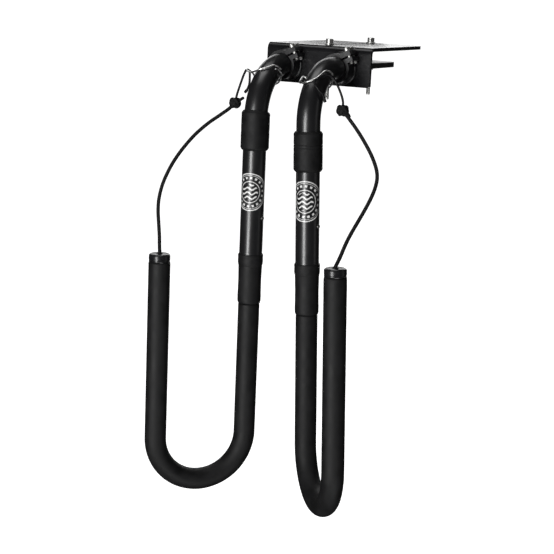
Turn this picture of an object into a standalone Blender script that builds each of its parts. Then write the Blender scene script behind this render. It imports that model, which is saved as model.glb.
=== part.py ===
"""Side-mount board rack: an L bracket that clamps to a carrier, with two bent arms.

Metres, +Z up. X runs along the bracket's flange, -Y points away from the vehicle, on the
side where the arms stick out. The origin is on the underside of the bracket's top plate,
on its centre line, between the flange and the slot. The arms hang from two split sockets;
each ends in a padded J hook that swivels under its tube, and a stretch cord closes the hook.
"""
import bpy
import bmesh
from math import acos, asin, cos, pi, radians, sin
from mathutils import Matrix, Vector

GAP = 0.0003                      # between pieces that touch

# Bracket: a bent plate, with the flange down at the front
PLATE_WIDTH = 0.1585
PLATE_MIDDLE_X = -0.00325         # the slot runs a little right of the plate's middle
PLATE_BACK_Y = 0.182
PLATE_THICKNESS = 0.005
PLATE_CORNER = 0.020
FLANGE_FRONT_Y = -0.018
FLANGE_BOTTOM_Z = -0.049
FLANGE_CORNER = 0.005
BEND_RADIUS = 0.009               # outside of the bend

# Clamp under the plate: a bar on two long bolts that slide along a slot
SLOT_START_Y = 0.010              # centre of the front bolt
SLOT_END_Y = 0.156                # centre of the rear bolt
SLOT_HALF_WIDTH = 0.0034
BAR_HALF_WIDTH = 0.035
BAR_START_Y = -0.002
BAR_END_Y = 0.178
BAR_CORNER = 0.014
BAR_TOP_Z = -0.0205
BAR_THICKNESS = 0.008
BOLT_RADIUS = 0.003               # M6
BOLT_END_Z = -0.071
BOLT_HEAD_RADIUS = 0.0052
BOLT_HEAD_HEIGHT = 0.0064
WASHER_RADIUS = 0.0068
WASHER_THICKNESS = 0.0014
NUT_ACROSS_CORNERS = 0.0115
NUT_HEIGHT = 0.005

# Split sockets on the flange, and their pinch screws (M5), threaded into the lower ears
STUB_Z = -0.0246                  # height of both sockets' axes
SOCKET_RADIUS = 0.0205
SOCKET_BORE = 0.0163
SOCKET_LENGTH = 0.022
EAR_TILT = radians(25)            # how far the ears lean up from level
EAR_OUT = (0.012, 0.029)          # along the ears, from the socket's axis
EAR_UP = (0.0005, 0.0155)         # across the ears, from the socket's axis
SPLIT_UP = (0.0065, 0.0090)       # the slit between the ears
PINCH_OUT = 0.0242                # pinch screws, along the ears
PINCH_FROM_FLANGE = (0.0045, 0.0172)
PINCH_RADIUS = 0.0025
PINCH_HEAD_RADIUS = 0.0044
PINCH_HEAD_HEIGHT = 0.005
PINCH_LENGTH = 0.0181             # its tip stands out under the lower ear

# Arm tubes: a short stub, a bend, then the hanging tube
TUBE_RADIUS = 0.016
TUBE_WALL = 0.0032
ELBOW_RADIUS = 0.071
TUBE_END = 0.268                  # depth of the tube's open end below the stub's axis
BUTTON_DEPTH = 0.205              # the button points along +X
BUTTON_RADIUS = 0.003
BUTTON_TRAVEL = 0.0022            # it stands this far proud of the tube

# Collar between the tube and the hook
COLLAR_TOP = 0.256
COLLAR_STEP = 0.270
COLLAR_END = 0.325

# J hooks: a thinner tube in a foam skin
HOOK_TUBE_RADIUS = 0.0125
HOOK_TUBE_WALL = 0.002
HOOK_TUBE_TOP = 0.190             # depth of its hidden upper end
FOAM_RADIUS = 0.0149
FOAM_WALL = 0.0021
HOOK_BEND_RADIUS = 0.0654
HOOK_SPLAY = radians(41.5)        # each hook turned out from straight ahead
CAP_RADIUS = 0.0146
CAP_HEIGHT = 0.0108
CORD_RADIUS = 0.0025
CORD_HOLE = 0.0029

# Upper foam pads
PAD_RADIUS = 0.0193
PAD_WALL = 0.0030

# Wire clip around each elbow, and the cord's wire hook
CLIP_WIRE = 0.0012
HOOK_WIRE = 0.0014

# What differs between the two arms. A clip is given by points around its elbow: degrees
# around the tube from +X, distance from the tube's axis, and degrees along the bend. Its two
# ends lie side by side over the tube's right side, and its ear stands out on the left.
# The other routes are in metres in the world. A positive swing leans the arm outwards,
# bend_depth is how far the U bend's centre hangs below the stub, and tip is how far the hook's
# free leg rises from there.
LEFT = {
    "side": -1,
    "name": "left",
    "x": -0.0498,
    "stub": 0.019,
    "swing": radians(-0.3),
    "pad": (0.060, 0.1127),
    "bend_depth": 0.5114,
    "tip": 0.2594,
    "clip": [
        (40, 0.0183, 35.0), (20, 0.0182, 32.0), (-8, 0.0180, 31.0), (-50, 0.0180, 32.0),
        (-95, 0.0180, 34.0), (-140, 0.0180, 36.5), (-172, 0.0180, 38.0), (-193, 0.0198, 38.5),
        (-204, 0.0242, 38.8), (-208, 0.0278, 39.6), (-209, 0.0278, 41.4), (-212, 0.0240, 42.0),
        (-220, 0.0200, 42.2), (-236, 0.0181, 42.4), (-262, 0.0180, 41.6), (-282, 0.0180, 39.5),
        (-297, 0.0186, 36.5), (-307, 0.0206, 34.0), (-318, 0.0210, 32.6), (-331, 0.0208, 31.2),
        (-342, 0.0206, 30.4),
    ],
    "knot": (-0.100, -0.075, -0.0793),
    "hook_route": [
        (-0.0969, -0.0765, -0.0677),
        (-0.0925, -0.0785, -0.0570),
        (-0.0865, -0.0808, -0.0430),
        (-0.0828, -0.0822, -0.0360),
        (-0.0798, -0.0834, -0.0322),
        (-0.0762, -0.0846, -0.0320),
        (-0.0738, -0.0852, -0.0350),
        (-0.0733, -0.0852, -0.0430),
        (-0.0740, -0.0846, -0.0515),
        (-0.0778, -0.0831, -0.0590),
        (-0.0815, -0.0816, -0.0628),
    ],
    "cord_route": [
        (-0.1383, -0.2020, -0.2665),
        (-0.1426, -0.1960, -0.2540),
        (-0.1483, -0.1895, -0.2385),
        (-0.1537, -0.1830, -0.2225),
        (-0.1571, -0.1760, -0.2078),
        (-0.1575, -0.1680, -0.1910),
        (-0.1558, -0.1580, -0.1745),
        (-0.1520, -0.1470, -0.1580),
        (-0.1458, -0.1340, -0.1410),
        (-0.1368, -0.1190, -0.1232),
        (-0.1258, -0.1038, -0.1080),
        (-0.1160, -0.0912, -0.0975),
        (-0.1071, -0.0815, -0.0884),
    ],
}
RIGHT = {
    "side": 1,
    "name": "right",
    "x": 0.033,
    "stub": 0.032,
    "swing": radians(2.57),
    "pad": (0.079, 0.1324),
    "bend_depth": 0.5056,
    "tip": 0.2662,
    "clip": [
        (44, 0.0190, 38.0), (20, 0.0182, 34.0), (-8, 0.0180, 32.0), (-50, 0.0180, 32.0),
        (-95, 0.0180, 32.0), (-140, 0.0180, 31.5), (-166, 0.0186, 30.6), (-176, 0.0225, 29.6),
        (-180, 0.0256, 30.6), (-180, 0.0262, 35.0), (-181, 0.0258, 39.6), (-185, 0.0232, 42.6),
        (-196, 0.0196, 44.6), (-212, 0.0181, 47.5), (-232, 0.0180, 50.4), (-255, 0.0180, 50.6),
        (-276, 0.0180, 49.0), (-292, 0.0180, 46.0), (-303, 0.0190, 41.5), (-311, 0.0220, 37.0),
        (-321, 0.0226, 34.5), (-335, 0.0212, 32.0), (-346, 0.0204, 31.0),
    ],
    "knot": (0.074, -0.098, -0.0748),
    "hook_route": [
        (0.0748, -0.1001, -0.0630),
        (0.0722, -0.1005, -0.0545),
        (0.0672, -0.1012, -0.0440),
        (0.0622, -0.1025, -0.0355),
        (0.0578, -0.1048, -0.0307),
        (0.0528, -0.1088, -0.0292),
        (0.0472, -0.1146, -0.0316),
        (0.0424, -0.1198, -0.0368),
        (0.0440, -0.1225, -0.0420),
        (0.0492, -0.1222, -0.0484),
        (0.0542, -0.1188, -0.0549),
        (0.0562, -0.1155, -0.0640),
    ],
    "cord_route": [
        (0.1314, -0.2090, -0.2475),
        (0.1325, -0.1970, -0.2330),
        (0.1342, -0.1855, -0.2205),
        (0.1368, -0.1730, -0.2075),
        (0.1398, -0.1592, -0.1930),
        (0.1425, -0.1460, -0.1775),
        (0.1430, -0.1355, -0.1645),
        (0.1412, -0.1277, -0.1535),
        (0.1362, -0.1215, -0.1425),
        (0.1262, -0.1150, -0.1280),
        (0.1130, -0.1085, -0.1130),
        (0.0985, -0.1030, -0.0980),
        (0.0836, -0.0997, -0.0834),
    ],
}

for old in list(bpy.data.objects):
    bpy.data.objects.remove(old, do_unlink=True)

PARTS = bpy.data.collections.new("board_rack")
CUTTERS = bpy.data.collections.new("cutters")
bpy.context.scene.collection.children.link(PARTS)
bpy.context.scene.collection.children.link(CUTTERS)


# ---------------------------------------------------------------- materials

def material(name, colour, metallic, roughness):
    made = bpy.data.materials.new(name)
    made.use_nodes = True
    shader = made.node_tree.nodes["Principled BSDF"]
    shader.inputs["Base Color"].default_value = (*colour, 1.0)
    shader.inputs["Metallic"].default_value = metallic
    shader.inputs["Roughness"].default_value = roughness
    return made


PAINT = material("black_powder_coat", (0.02, 0.02, 0.022), 0.0, 0.35)
ZINC = material("zinc_plated_steel", (0.62, 0.62, 0.60), 1.0, 0.35)
FOAM = material("black_foam", (0.012, 0.012, 0.013), 0.0, 0.85)
RUBBER = material("black_rubber", (0.015, 0.015, 0.016), 0.0, 0.6)
GLOSS = material("black_gloss_plastic", (0.01, 0.01, 0.011), 0.0, 0.15)
WIRE = material("zinc_plated_wire", (0.66, 0.66, 0.64), 1.0, 0.3)
COATED = material("black_coated_wire", (0.012, 0.012, 0.013), 0.0, 0.4)
CORD = material("black_stretch_cord", (0.015, 0.015, 0.016), 0.0, 0.8)


# ---------------------------------------------------------------- helpers

def add_object(name, data, paint, collection=PARTS):
    made = bpy.data.objects.new(name, data)
    collection.objects.link(made)
    if paint is not None:
        data.materials.append(paint)
    return made


def add_cutter(name, data):
    made = add_object(name, data, None, CUTTERS)
    made.hide_render = True
    made.display_type = "WIRE"
    return made


def smooth(made, angle=radians(35)):
    made.data.shade_smooth()
    made.data.set_sharp_from_angle(angle=angle)


def keep_place_under(child, parent):
    """Parent child without moving it."""
    child.parent = parent
    child.matrix_parent_inverse = parent.matrix_world.inverted()


def box_mesh(name, low, high):
    mesh = bpy.data.meshes.new(name)
    shape = bmesh.new()
    bmesh.ops.create_cube(shape, size=1.0)
    size = [b - a for a, b in zip(low, high)]
    centre = [(a + b) / 2 for a, b in zip(low, high)]
    for vert in shape.verts:
        vert.co = Vector([c + v * s for c, v, s in zip(centre, vert.co, size)])
    shape.to_mesh(mesh)
    shape.free()
    return mesh


def round_mesh(name, radius, length, sides):
    """A cylinder along Z, centred on its own origin."""
    mesh = bpy.data.meshes.new(name)
    shape = bmesh.new()
    bmesh.ops.create_cone(shape, cap_ends=True, segments=sides, radius1=radius,
                          radius2=radius, depth=length)
    shape.to_mesh(mesh)
    shape.free()
    return mesh


def boolean(made, other, operation):
    cut = made.modifiers.new(operation.lower(), "BOOLEAN")
    cut.operation = operation
    cut.solver = "EXACT"
    cut.object = other


def arc(centre, radius, start, end, count):
    """Points of an arc in a plane, from one angle to another."""
    step = (end - start) / count
    angles = [start + step * k for k in range(count + 1)]
    return [(centre[0] + radius * cos(a), centre[1] + radius * sin(a)) for a in angles]


def outline_solid(name, points, thickness, paint, collection=PARTS):
    """A flat outline in XY, thickened evenly to both sides of its plane."""
    curve = bpy.data.curves.new(name + "_outline", "CURVE")
    curve.dimensions = "2D"
    curve.fill_mode = "BOTH"
    curve.extrude = thickness / 2
    spline = curve.splines.new("POLY")
    spline.points.add(len(points) - 1)
    for point, (x, y) in zip(spline.points, points):
        point.co = (x, y, 0.0, 1.0)
    spline.use_cyclic_u = True
    return curve_to_mesh(name, curve, paint, collection)


def curve_to_mesh(name, curve, paint, collection=PARTS):
    """Turn a curve into a welded mesh object."""
    source = bpy.data.objects.new(name + "_curve", curve)
    bpy.context.scene.collection.objects.link(source)
    depsgraph = bpy.context.evaluated_depsgraph_get()
    mesh = bpy.data.meshes.new_from_object(source.evaluated_get(depsgraph))
    shape = bmesh.new()
    shape.from_mesh(mesh)
    bmesh.ops.remove_doubles(shape, verts=shape.verts, dist=0.00001)
    shape.to_mesh(mesh)
    shape.free()
    mesh.name = name
    mesh.materials.clear()
    made = add_object(name, mesh, paint, collection)
    made.matrix_world = source.matrix_world
    bpy.data.objects.remove(source, do_unlink=True)
    return made


def wire_curve(name, points, radius, resolution, caps=True):
    curve = bpy.data.curves.new(name, "CURVE")
    curve.dimensions = "3D"
    curve.bevel_depth = radius
    curve.bevel_resolution = resolution
    curve.use_fill_caps = caps
    spline = curve.splines.new("POLY")
    spline.points.add(len(points) - 1)
    for point, place in zip(spline.points, points):
        point.co = (*place, 1.0)
    return curve


def hollow_tube(name, points, radius, wall, resolution, paint):
    """An open tube along the points, with its wall to the inside."""
    curve = wire_curve(name, points, radius, resolution, caps=False)
    made = curve_to_mesh(name, curve, paint)
    shell = made.modifiers.new("wall", "SOLIDIFY")
    shell.thickness = wall
    shell.offset = -1.0
    smooth(made)
    return made


def turned(name, profile, steps, paint):
    """Turn a profile of (radius, height) points about Z."""
    mesh = bpy.data.meshes.new(name)
    shape = bmesh.new()
    verts = [shape.verts.new((r, 0.0, z)) for r, z in profile]
    for a, b in zip(verts, verts[1:]):
        shape.edges.new((a, b))
    if profile[0][0] > 0:
        shape.edges.new((verts[-1], verts[0]))
    shape.to_mesh(mesh)
    shape.free()
    made = add_object(name, mesh, paint)
    screw = made.modifiers.new("turn", "SCREW")
    screw.axis = "Z"
    screw.steps = steps
    screw.render_steps = steps
    screw.use_merge_vertices = True
    screw.merge_threshold = 0.00001
    screw.use_smooth_shade = True
    return made


def smooth_route(points, per_span):
    """Points of a Catmull-Rom curve through the given points."""
    given = [Vector(p) for p in points]
    last = len(given) - 1
    route = []
    for k in range(last):
        a, b, c, d = [given[min(max(k + j, 0), last)] for j in (-1, 0, 1, 2)]
        for step in range(per_span):
            t = step / per_span
            route.append(0.5 * (2 * b + (c - a) * t + (2 * a - 5 * b + 4 * c - d) * t ** 2
                                + (3 * b - a - 3 * c + d) * t ** 3))
    route.append(given[-1])
    return route


def place(made, location, rotation=(0.0, 0.0, 0.0)):
    made.location = location
    made.rotation_euler = rotation
    return made


def hex_nut(name, across_corners, height, hole, paint):
    mesh = round_mesh(name, across_corners / 2, height, 6)
    made = add_object(name, mesh, paint)
    bore = add_cutter(name + "_bore", round_mesh(name + "_bore", hole, height * 3, 14))
    bore.parent = made
    boolean(made, bore, "DIFFERENCE")
    return made


def cap_screw(name, head_radius, head_height, shank_radius, shank_length, steps):
    """A socket screw: its head stands on Z = 0 and its shank hangs below."""
    edge = 0.0004
    profile = [
        (0.0, head_height),
        (head_radius - edge, head_height),
        (head_radius, head_height - edge),
        (head_radius, 0.0),
        (shank_radius, 0.0),
        (shank_radius, -shank_length + edge),
        (shank_radius - edge, -shank_length),
        (0.0, -shank_length),
    ]
    made = turned(name, profile, steps, ZINC)
    key = add_cutter(name + "_key", round_mesh(name + "_key", head_radius * 0.55,
                                               head_height, 6))
    key.location = (0.0, 0.0, head_height)
    key.parent = made
    boolean(made, key, "DIFFERENCE")
    return made


# ---------------------------------------------------------------- bracket and clamp

def slot_cutter(name, z):
    """A long slot with round ends, from the front bolt to the rear bolt."""
    r = SLOT_HALF_WIDTH
    points = arc((0.0, SLOT_END_Y), r, 0.0, pi, 8) + arc((0.0, SLOT_START_Y), r, pi, 2 * pi, 8)
    cutter = outline_solid(name, points, 0.020, None, CUTTERS)
    cutter.hide_render = True
    cutter.display_type = "WIRE"
    cutter.location.z = z
    return cutter


def rounded_rectangle(x, y0, y1, front_corner, back_corner, count):
    """Outline from -x to x and y0 to y1, with its own radius front and back."""
    f = front_corner
    b = back_corner
    return (arc((x - b, y1 - b), b, 0.0, pi / 2, count)
            + arc((-x + b, y1 - b), b, pi / 2, pi, count)
            + arc((-x + f, y0 + f), f, pi, 1.5 * pi, count)
            + arc((x - f, y0 + f), f, 1.5 * pi, 2 * pi, count))


def build_bracket():
    """Top plate and flange, bent from one sheet, with the slot in the plate."""
    t = PLATE_THICKNESS
    outer = BEND_RADIUS
    bend = (FLANGE_FRONT_Y + outer, t - outer)
    profile = [(PLATE_BACK_Y, 0.0), (PLATE_BACK_Y, t)]
    profile += arc(bend, outer, pi / 2, pi, 6)
    profile += [(FLANGE_FRONT_Y, FLANGE_BOTTOM_Z), (FLANGE_FRONT_Y + t, FLANGE_BOTTOM_Z)]
    profile += arc(bend, outer - t, pi, pi / 2, 6)
    bracket = outline_solid("bracket", profile, PLATE_WIDTH, PAINT)
    # the profile's plane XY becomes the world's YZ
    bracket.matrix_world = Matrix(((0, 0, 1, PLATE_MIDDLE_X), (1, 0, 0, 0), (0, 1, 0, 0),
                                   (0, 0, 0, 1)))

    plan = rounded_rectangle(PLATE_WIDTH / 2, FLANGE_FRONT_Y - 0.001, PLATE_BACK_Y,
                             0.0005, PLATE_CORNER, 6)
    plan_cutter = outline_solid("plan_cutter", plan, 0.2, None, CUTTERS)
    front = rounded_rectangle(PLATE_WIDTH / 2 + 0.001, FLANGE_BOTTOM_Z, 0.05,
                              FLANGE_CORNER, 0.0005, 6)
    front_cutter = outline_solid("front_cutter", front, 0.6, None, CUTTERS)
    front_cutter.rotation_euler.x = pi / 2
    for cutter in (plan_cutter, front_cutter):
        cutter.location.x = PLATE_MIDDLE_X
        cutter.hide_render = True
        cutter.display_type = "WIRE"
        boolean(bracket, cutter, "INTERSECT")
    boolean(bracket, slot_cutter("plate_slot", 0.0), "DIFFERENCE")
    smooth(bracket)


def build_clamp():
    """Lower bar, two long bolts with washers under their heads, and a nut on each."""
    outline = rounded_rectangle(BAR_HALF_WIDTH, BAR_START_Y, BAR_END_Y,
                                BAR_CORNER, BAR_CORNER, 6)
    bar = outline_solid("clamp_bar", outline, BAR_THICKNESS, PAINT)
    bar.location.z = BAR_TOP_Z - BAR_THICKNESS / 2
    boolean(bar, slot_cutter("bar_slot", BAR_TOP_Z), "DIFFERENCE")
    smooth(bar)

    head_z = PLATE_THICKNESS + WASHER_THICKNESS + 2 * GAP
    nut_z = BAR_TOP_Z - BAR_THICKNESS - GAP - NUT_HEIGHT / 2
    hole = BOLT_RADIUS + GAP
    washer_profile = [
        (WASHER_RADIUS, WASHER_THICKNESS),
        (WASHER_RADIUS, 0.0),
        (hole, 0.0),
        (hole, WASHER_THICKNESS),
    ]
    for where, y in (("front", SLOT_START_Y), ("rear", SLOT_END_Y)):
        screw = cap_screw("clamp_bolt_" + where, BOLT_HEAD_RADIUS, BOLT_HEAD_HEIGHT,
                          BOLT_RADIUS, head_z - BOLT_END_Z, 18)
        place(screw, (0.0, y, head_z))
        washer = turned("clamp_washer_" + where, washer_profile, 20, ZINC)
        place(washer, (0.0, y, PLATE_THICKNESS + GAP))
        nut = hex_nut("clamp_nut_" + where, NUT_ACROSS_CORNERS, NUT_HEIGHT, hole, ZINC)
        place(nut, (0.0, y, nut_z))


def build_socket(arm):
    """Split ring with two ears, standing out from the flange around the arm's stub."""
    name = "socket_" + arm["name"]
    length = SOCKET_LENGTH - GAP
    middle = -GAP - length / 2
    ring = add_object(name, round_mesh(name, SOCKET_RADIUS, length, 40), PAINT)
    ring.data.transform(Matrix.Rotation(pi / 2, 4, "X"))
    ring.data.transform(Matrix.Translation((0.0, middle, 0.0)))
    tilt = Matrix.Rotation(-EAR_TILT, 4, "Y")

    ears = add_cutter(name + "_ears", box_mesh(name + "_ears",
                      (EAR_OUT[0], -SOCKET_LENGTH, EAR_UP[0]), (EAR_OUT[1], -GAP, EAR_UP[1])))
    bore = add_cutter(name + "_bore", round_mesh(name + "_bore", SOCKET_BORE, 0.1, 40))
    bore.data.transform(Matrix.Rotation(pi / 2, 4, "X"))
    slit = add_cutter(name + "_slit", box_mesh(name + "_slit",
                      (0.008, -0.05, SPLIT_UP[0]), (0.05, 0.05, SPLIT_UP[1])))
    for cutter in (ears, slit):
        cutter.data.transform(tilt)
    boolean(ring, ears, "UNION")
    boolean(ring, bore, "DIFFERENCE")
    boolean(ring, slit, "DIFFERENCE")
    fittings = [ears, bore, slit]

    for number, back in enumerate(PINCH_FROM_FLANGE):
        where = arm["name"] + ("_rear", "_front")[number]
        hole = add_cutter(name + "_hole_" + str(number),
                          round_mesh(name + "_hole", PINCH_RADIUS + GAP, 0.06, 14))
        hole.data.transform(tilt @ Matrix.Translation((PINCH_OUT, -back, EAR_UP[1])))
        boolean(ring, hole, "DIFFERENCE")
        screw = cap_screw("pinch_bolt_" + where, PINCH_HEAD_RADIUS, PINCH_HEAD_HEIGHT,
                          PINCH_RADIUS, PINCH_LENGTH, 14)
        screw.matrix_local = tilt @ Matrix.Translation((PINCH_OUT, -back, EAR_UP[1] + GAP))
        fittings += [hole, screw]

    base = bpy.data.objects.new("stub_axis_" + arm["name"], None)
    PARTS.objects.link(base)
    base.location = (arm["x"], FLANGE_FRONT_Y, STUB_Z)
    ring.parent = base
    for piece in fittings:
        piece.parent = base
    smooth(ring)


# ---------------------------------------------------------------- arms

def bend_point(stub, angle):
    """Centre of the tube along the elbow, in the arm's own frame."""
    return Vector((0.0, -stub - ELBOW_RADIUS * sin(angle), ELBOW_RADIUS * (cos(angle) - 1.0)))


def arm_line(stub, from_angle, depth, count):
    """Centre line from an angle on the elbow down to a depth on the hanging tube."""
    step = (pi / 2 - from_angle) / count
    line = [bend_point(stub, from_angle + step * k) for k in range(count + 1)]
    line.append(Vector((0.0, -stub - ELBOW_RADIUS, -depth)))
    return line


def build_arm_tube(arm, frame):
    """Stub, elbow and hanging tube, with a hole for the locking button."""
    name = "arm_tube_" + arm["name"]
    line = [Vector((0.0, -GAP, 0.0))] + arm_line(arm["stub"], 0.0, TUBE_END, 10)
    tube = hollow_tube(name, line, TUBE_RADIUS, TUBE_WALL, 8, PAINT)
    tube.parent = frame

    hole = add_cutter(name + "_hole", round_mesh(name + "_hole", BUTTON_RADIUS + GAP, 0.01, 16))
    hole.data.transform(button_seat(arm) @ Matrix.Translation((0.0, 0.0, TUBE_RADIUS)))
    hole.parent = frame
    boolean(tube, hole, "DIFFERENCE")


def button_seat(arm):
    """Where the button's own Z axis leaves the hanging tube's centre line."""
    middle = Matrix.Translation((0.0, -arm["stub"] - ELBOW_RADIUS, -BUTTON_DEPTH))
    return middle @ Matrix.Rotation(pi / 2, 4, "Y")


def build_button(arm, frame):
    """Domed spring button: its inner end reaches into the slot in the hook's tube."""
    top = TUBE_RADIUS + BUTTON_TRAVEL
    foot = TUBE_RADIUS - TUBE_WALL - 0.0018
    dome = arc((0.0, top - 0.0035), 0.0035, pi / 2, acos(BUTTON_RADIUS / 0.0035), 4)
    profile = [(0.0, top)] + dome[1:] + [(BUTTON_RADIUS, foot), (0.0, foot)]
    button = turned("lock_button_" + arm["name"], profile, 14, ZINC)
    button.parent = frame
    button.matrix_local = button_seat(arm)


def build_pad(arm, frame):
    """Foam pad around the lower elbow and the top of the hanging tube."""
    top, bottom = arm["pad"]
    if top < ELBOW_RADIUS:
        line = arm_line(arm["stub"], acos(1.0 - top / ELBOW_RADIUS), bottom, 4)
    else:
        y = -arm["stub"] - ELBOW_RADIUS
        line = [Vector((0.0, y, -top)), Vector((0.0, y, -bottom))]
    pad = hollow_tube("pad_" + arm["name"], line, PAD_RADIUS, PAD_WALL - GAP, 8, FOAM)
    rim = pad.modifiers.new("soft_rim", "BEVEL")
    rim.width = 0.0012
    rim.segments = 1
    rim.limit_method = "ANGLE"
    rim.angle_limit = radians(50)
    pad.parent = frame


def build_collar(arm, frame):
    """Rubber collar: it grips the tube's end and guides the hook's tube below it."""
    grip = TUBE_RADIUS + GAP
    guide = HOOK_TUBE_RADIUS + GAP
    profile = [
        (0.0173, -COLLAR_TOP),
        (0.0175, -COLLAR_STEP + 0.002),
        (0.0164, -COLLAR_STEP - 0.002),
        (0.0160, -0.300),
        (0.0162, -COLLAR_END + 0.002),
        (0.0156, -COLLAR_END),
        (guide, -COLLAR_END),
        (guide, -TUBE_END - GAP),
        (grip, -TUBE_END - GAP),
        (grip, -COLLAR_TOP),
    ]
    collar = turned("collar_" + arm["name"], profile, 24, RUBBER)
    collar.parent = frame
    collar.location = (0.0, -arm["stub"] - ELBOW_RADIUS, 0.0)


def clip_route(arm):
    """Spring wire around the elbow: both ends on the right, an ear for a hook on the left."""
    points = []
    for around, distance, along in arm["clip"]:
        turn = radians(around)
        bend = radians(along)
        out = Vector((0.0, -sin(bend), cos(bend)))
        points.append(bend_point(arm["stub"], bend)
                      + distance * (cos(turn) * Vector((1, 0, 0)) + sin(turn) * out))
    return smooth_route(points, 4)


def build_clip(arm, frame):
    name = "clip_" + arm["name"]
    clip = add_object(name, wire_curve(name, clip_route(arm), CLIP_WIRE, 2), WIRE)
    clip.parent = frame


def build_hook_and_knot(arm, frame):
    """Coated wire hook on the clip's ear, and the knot that ties the cord to it."""
    name = "cord_hook_" + arm["name"]
    curve = wire_curve(name, smooth_route(arm["hook_route"], 3), HOOK_WIRE, 2)
    hook = add_object(name, curve, COATED)
    keep_place_under(hook, frame)

    mesh = bpy.data.meshes.new("knot_" + arm["name"])
    shape = bmesh.new()
    bmesh.ops.create_uvsphere(shape, u_segments=14, v_segments=9, radius=1.0)
    shape.to_mesh(mesh)
    shape.free()
    mesh.transform(Matrix.Diagonal((0.0098, 0.0088, 0.0098, 1.0)))
    knot = add_object("knot_" + arm["name"], mesh, CORD)
    knot.location = arm["knot"]
    smooth(knot)
    keep_place_under(knot, frame)


# ---------------------------------------------------------------- J hooks

def hook_line(arm, top, tip, count):
    """Centre line of a J hook in its own XZ plane: down, around the U, and up."""
    r = HOOK_BEND_RADIUS
    low = -arm["bend_depth"]
    flat = [(0.0, -top)] + arc((r, low), r, pi, 2 * pi, count) + [(2 * r, low + tip)]
    return [Vector((x, 0.0, z)) for x, z in flat]


def build_hook(arm, frame):
    """Steel J tube, its foam skin, the end cap and the stopper knot inside it.

    The tube's hidden upper end has a quarter-turn slot: the button in it sets how far
    the hook swivels.
    """
    name = arm["name"]
    tip = arm["tip"]
    tube_line = hook_line(arm, HOOK_TUBE_TOP, tip - 0.0035, 14)
    hook_tube = hollow_tube("hook_tube_" + name, tube_line, HOOK_TUBE_RADIUS,
                            HOOK_TUBE_WALL, 6, PAINT)
    hook_tube.parent = frame
    middle = pi / 2 - arm["side"] * pi / 4
    inside = HOOK_TUBE_RADIUS - HOOK_TUBE_WALL
    reach = pi / 4 + asin((BUTTON_RADIUS + GAP) / inside)
    sector = (arc((0.0, 0.0), 0.009, middle - reach, middle + reach, 10)
              + arc((0.0, 0.0), 0.014, middle + reach, middle - reach, 10))
    slot = outline_solid("button_slot_" + name, sector, 2 * BUTTON_RADIUS + 2 * GAP, None,
                         CUTTERS)
    slot.hide_render = True
    slot.display_type = "WIRE"
    slot.location.z = -BUTTON_DEPTH
    slot.parent = frame
    boolean(hook_tube, slot, "DIFFERENCE")

    foam_line = hook_line(arm, COLLAR_END + GAP, tip - CAP_HEIGHT - GAP, 14)
    foam = hollow_tube("hook_foam_" + name, foam_line, FOAM_RADIUS, FOAM_WALL, 8, FOAM)
    foam.parent = frame

    tip_place = (2 * HOOK_BEND_RADIUS, 0.0, tip - arm["bend_depth"])
    skirt = HOOK_TUBE_RADIUS + GAP
    round_top = arc((CAP_RADIUS - 0.004, -0.004), 0.004, pi / 2, 0.0, 4)
    profile = [(CORD_HOLE, 0.0)] + round_top + [
        (CAP_RADIUS, -CAP_HEIGHT),
        (skirt, -CAP_HEIGHT),
        (skirt, -0.003),
        (CORD_HOLE, -0.003),
    ]
    cap = turned("end_cap_" + name, profile, 24, GLOSS)
    cap.parent = frame
    cap.location = tip_place

    mesh = bpy.data.meshes.new("stopper_knot_" + name)
    shape = bmesh.new()
    bmesh.ops.create_uvsphere(shape, u_segments=10, v_segments=6, radius=0.0055)
    shape.to_mesh(mesh)
    shape.free()
    stopper = add_object("stopper_knot_" + name, mesh, CORD)
    stopper.parent = frame
    stopper.location = (tip_place[0], 0.0, tip_place[2] - 0.0125)
    smooth(stopper)


def cord_points(arm, frame):
    """The cord's line: from the stopper straight up through the cap, then its free bow."""
    top = Vector((2 * HOOK_BEND_RADIUS, 0.0, arm["tip"] - arm["bend_depth"]))
    inner, outer = [frame.matrix_world @ (top + Vector((0.0, 0.0, z))) for z in (-0.0066, 0.0018)]
    return [inner] + smooth_route([outer] + arm["cord_route"], 2)


def build_cord(arm, frame):
    name = "cord_" + arm["name"]
    cord = add_object(name, wire_curve(name, cord_points(arm, frame), CORD_RADIUS, 3), CORD)
    keep_place_under(cord, frame)


def build_arm(arm):
    """One arm: everything that swings with its tube, then what swivels with its hook."""
    swing = bpy.data.objects.new("swing_axis_" + arm["name"], None)
    PARTS.objects.link(swing)
    swing.location = (arm["x"], FLANGE_FRONT_Y, STUB_Z)
    swing.rotation_euler.y = -arm["side"] * arm["swing"]
    swivel = bpy.data.objects.new("swivel_axis_" + arm["name"], None)
    PARTS.objects.link(swivel)
    swivel.parent = swing
    swivel.location = (0.0, -arm["stub"] - ELBOW_RADIUS, 0.0)
    swivel.rotation_euler.z = -pi / 2 + arm["side"] * HOOK_SPLAY
    bpy.context.view_layer.update()

    build_arm_tube(arm, swing)
    build_button(arm, swing)
    build_pad(arm, swing)
    build_collar(arm, swing)
    build_clip(arm, swing)
    build_hook_and_knot(arm, swing)
    build_hook(arm, swivel)
    build_cord(arm, swivel)


build_bracket()
build_clamp()
for side_arm in (LEFT, RIGHT):
    build_socket(side_arm)
    build_arm(side_arm)
bpy.context.view_layer.update()
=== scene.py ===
from math import acos, cos, pi, radians, sin, sqrt

import bmesh
import bpy
from mathutils import Matrix, Vector, noise


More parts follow.
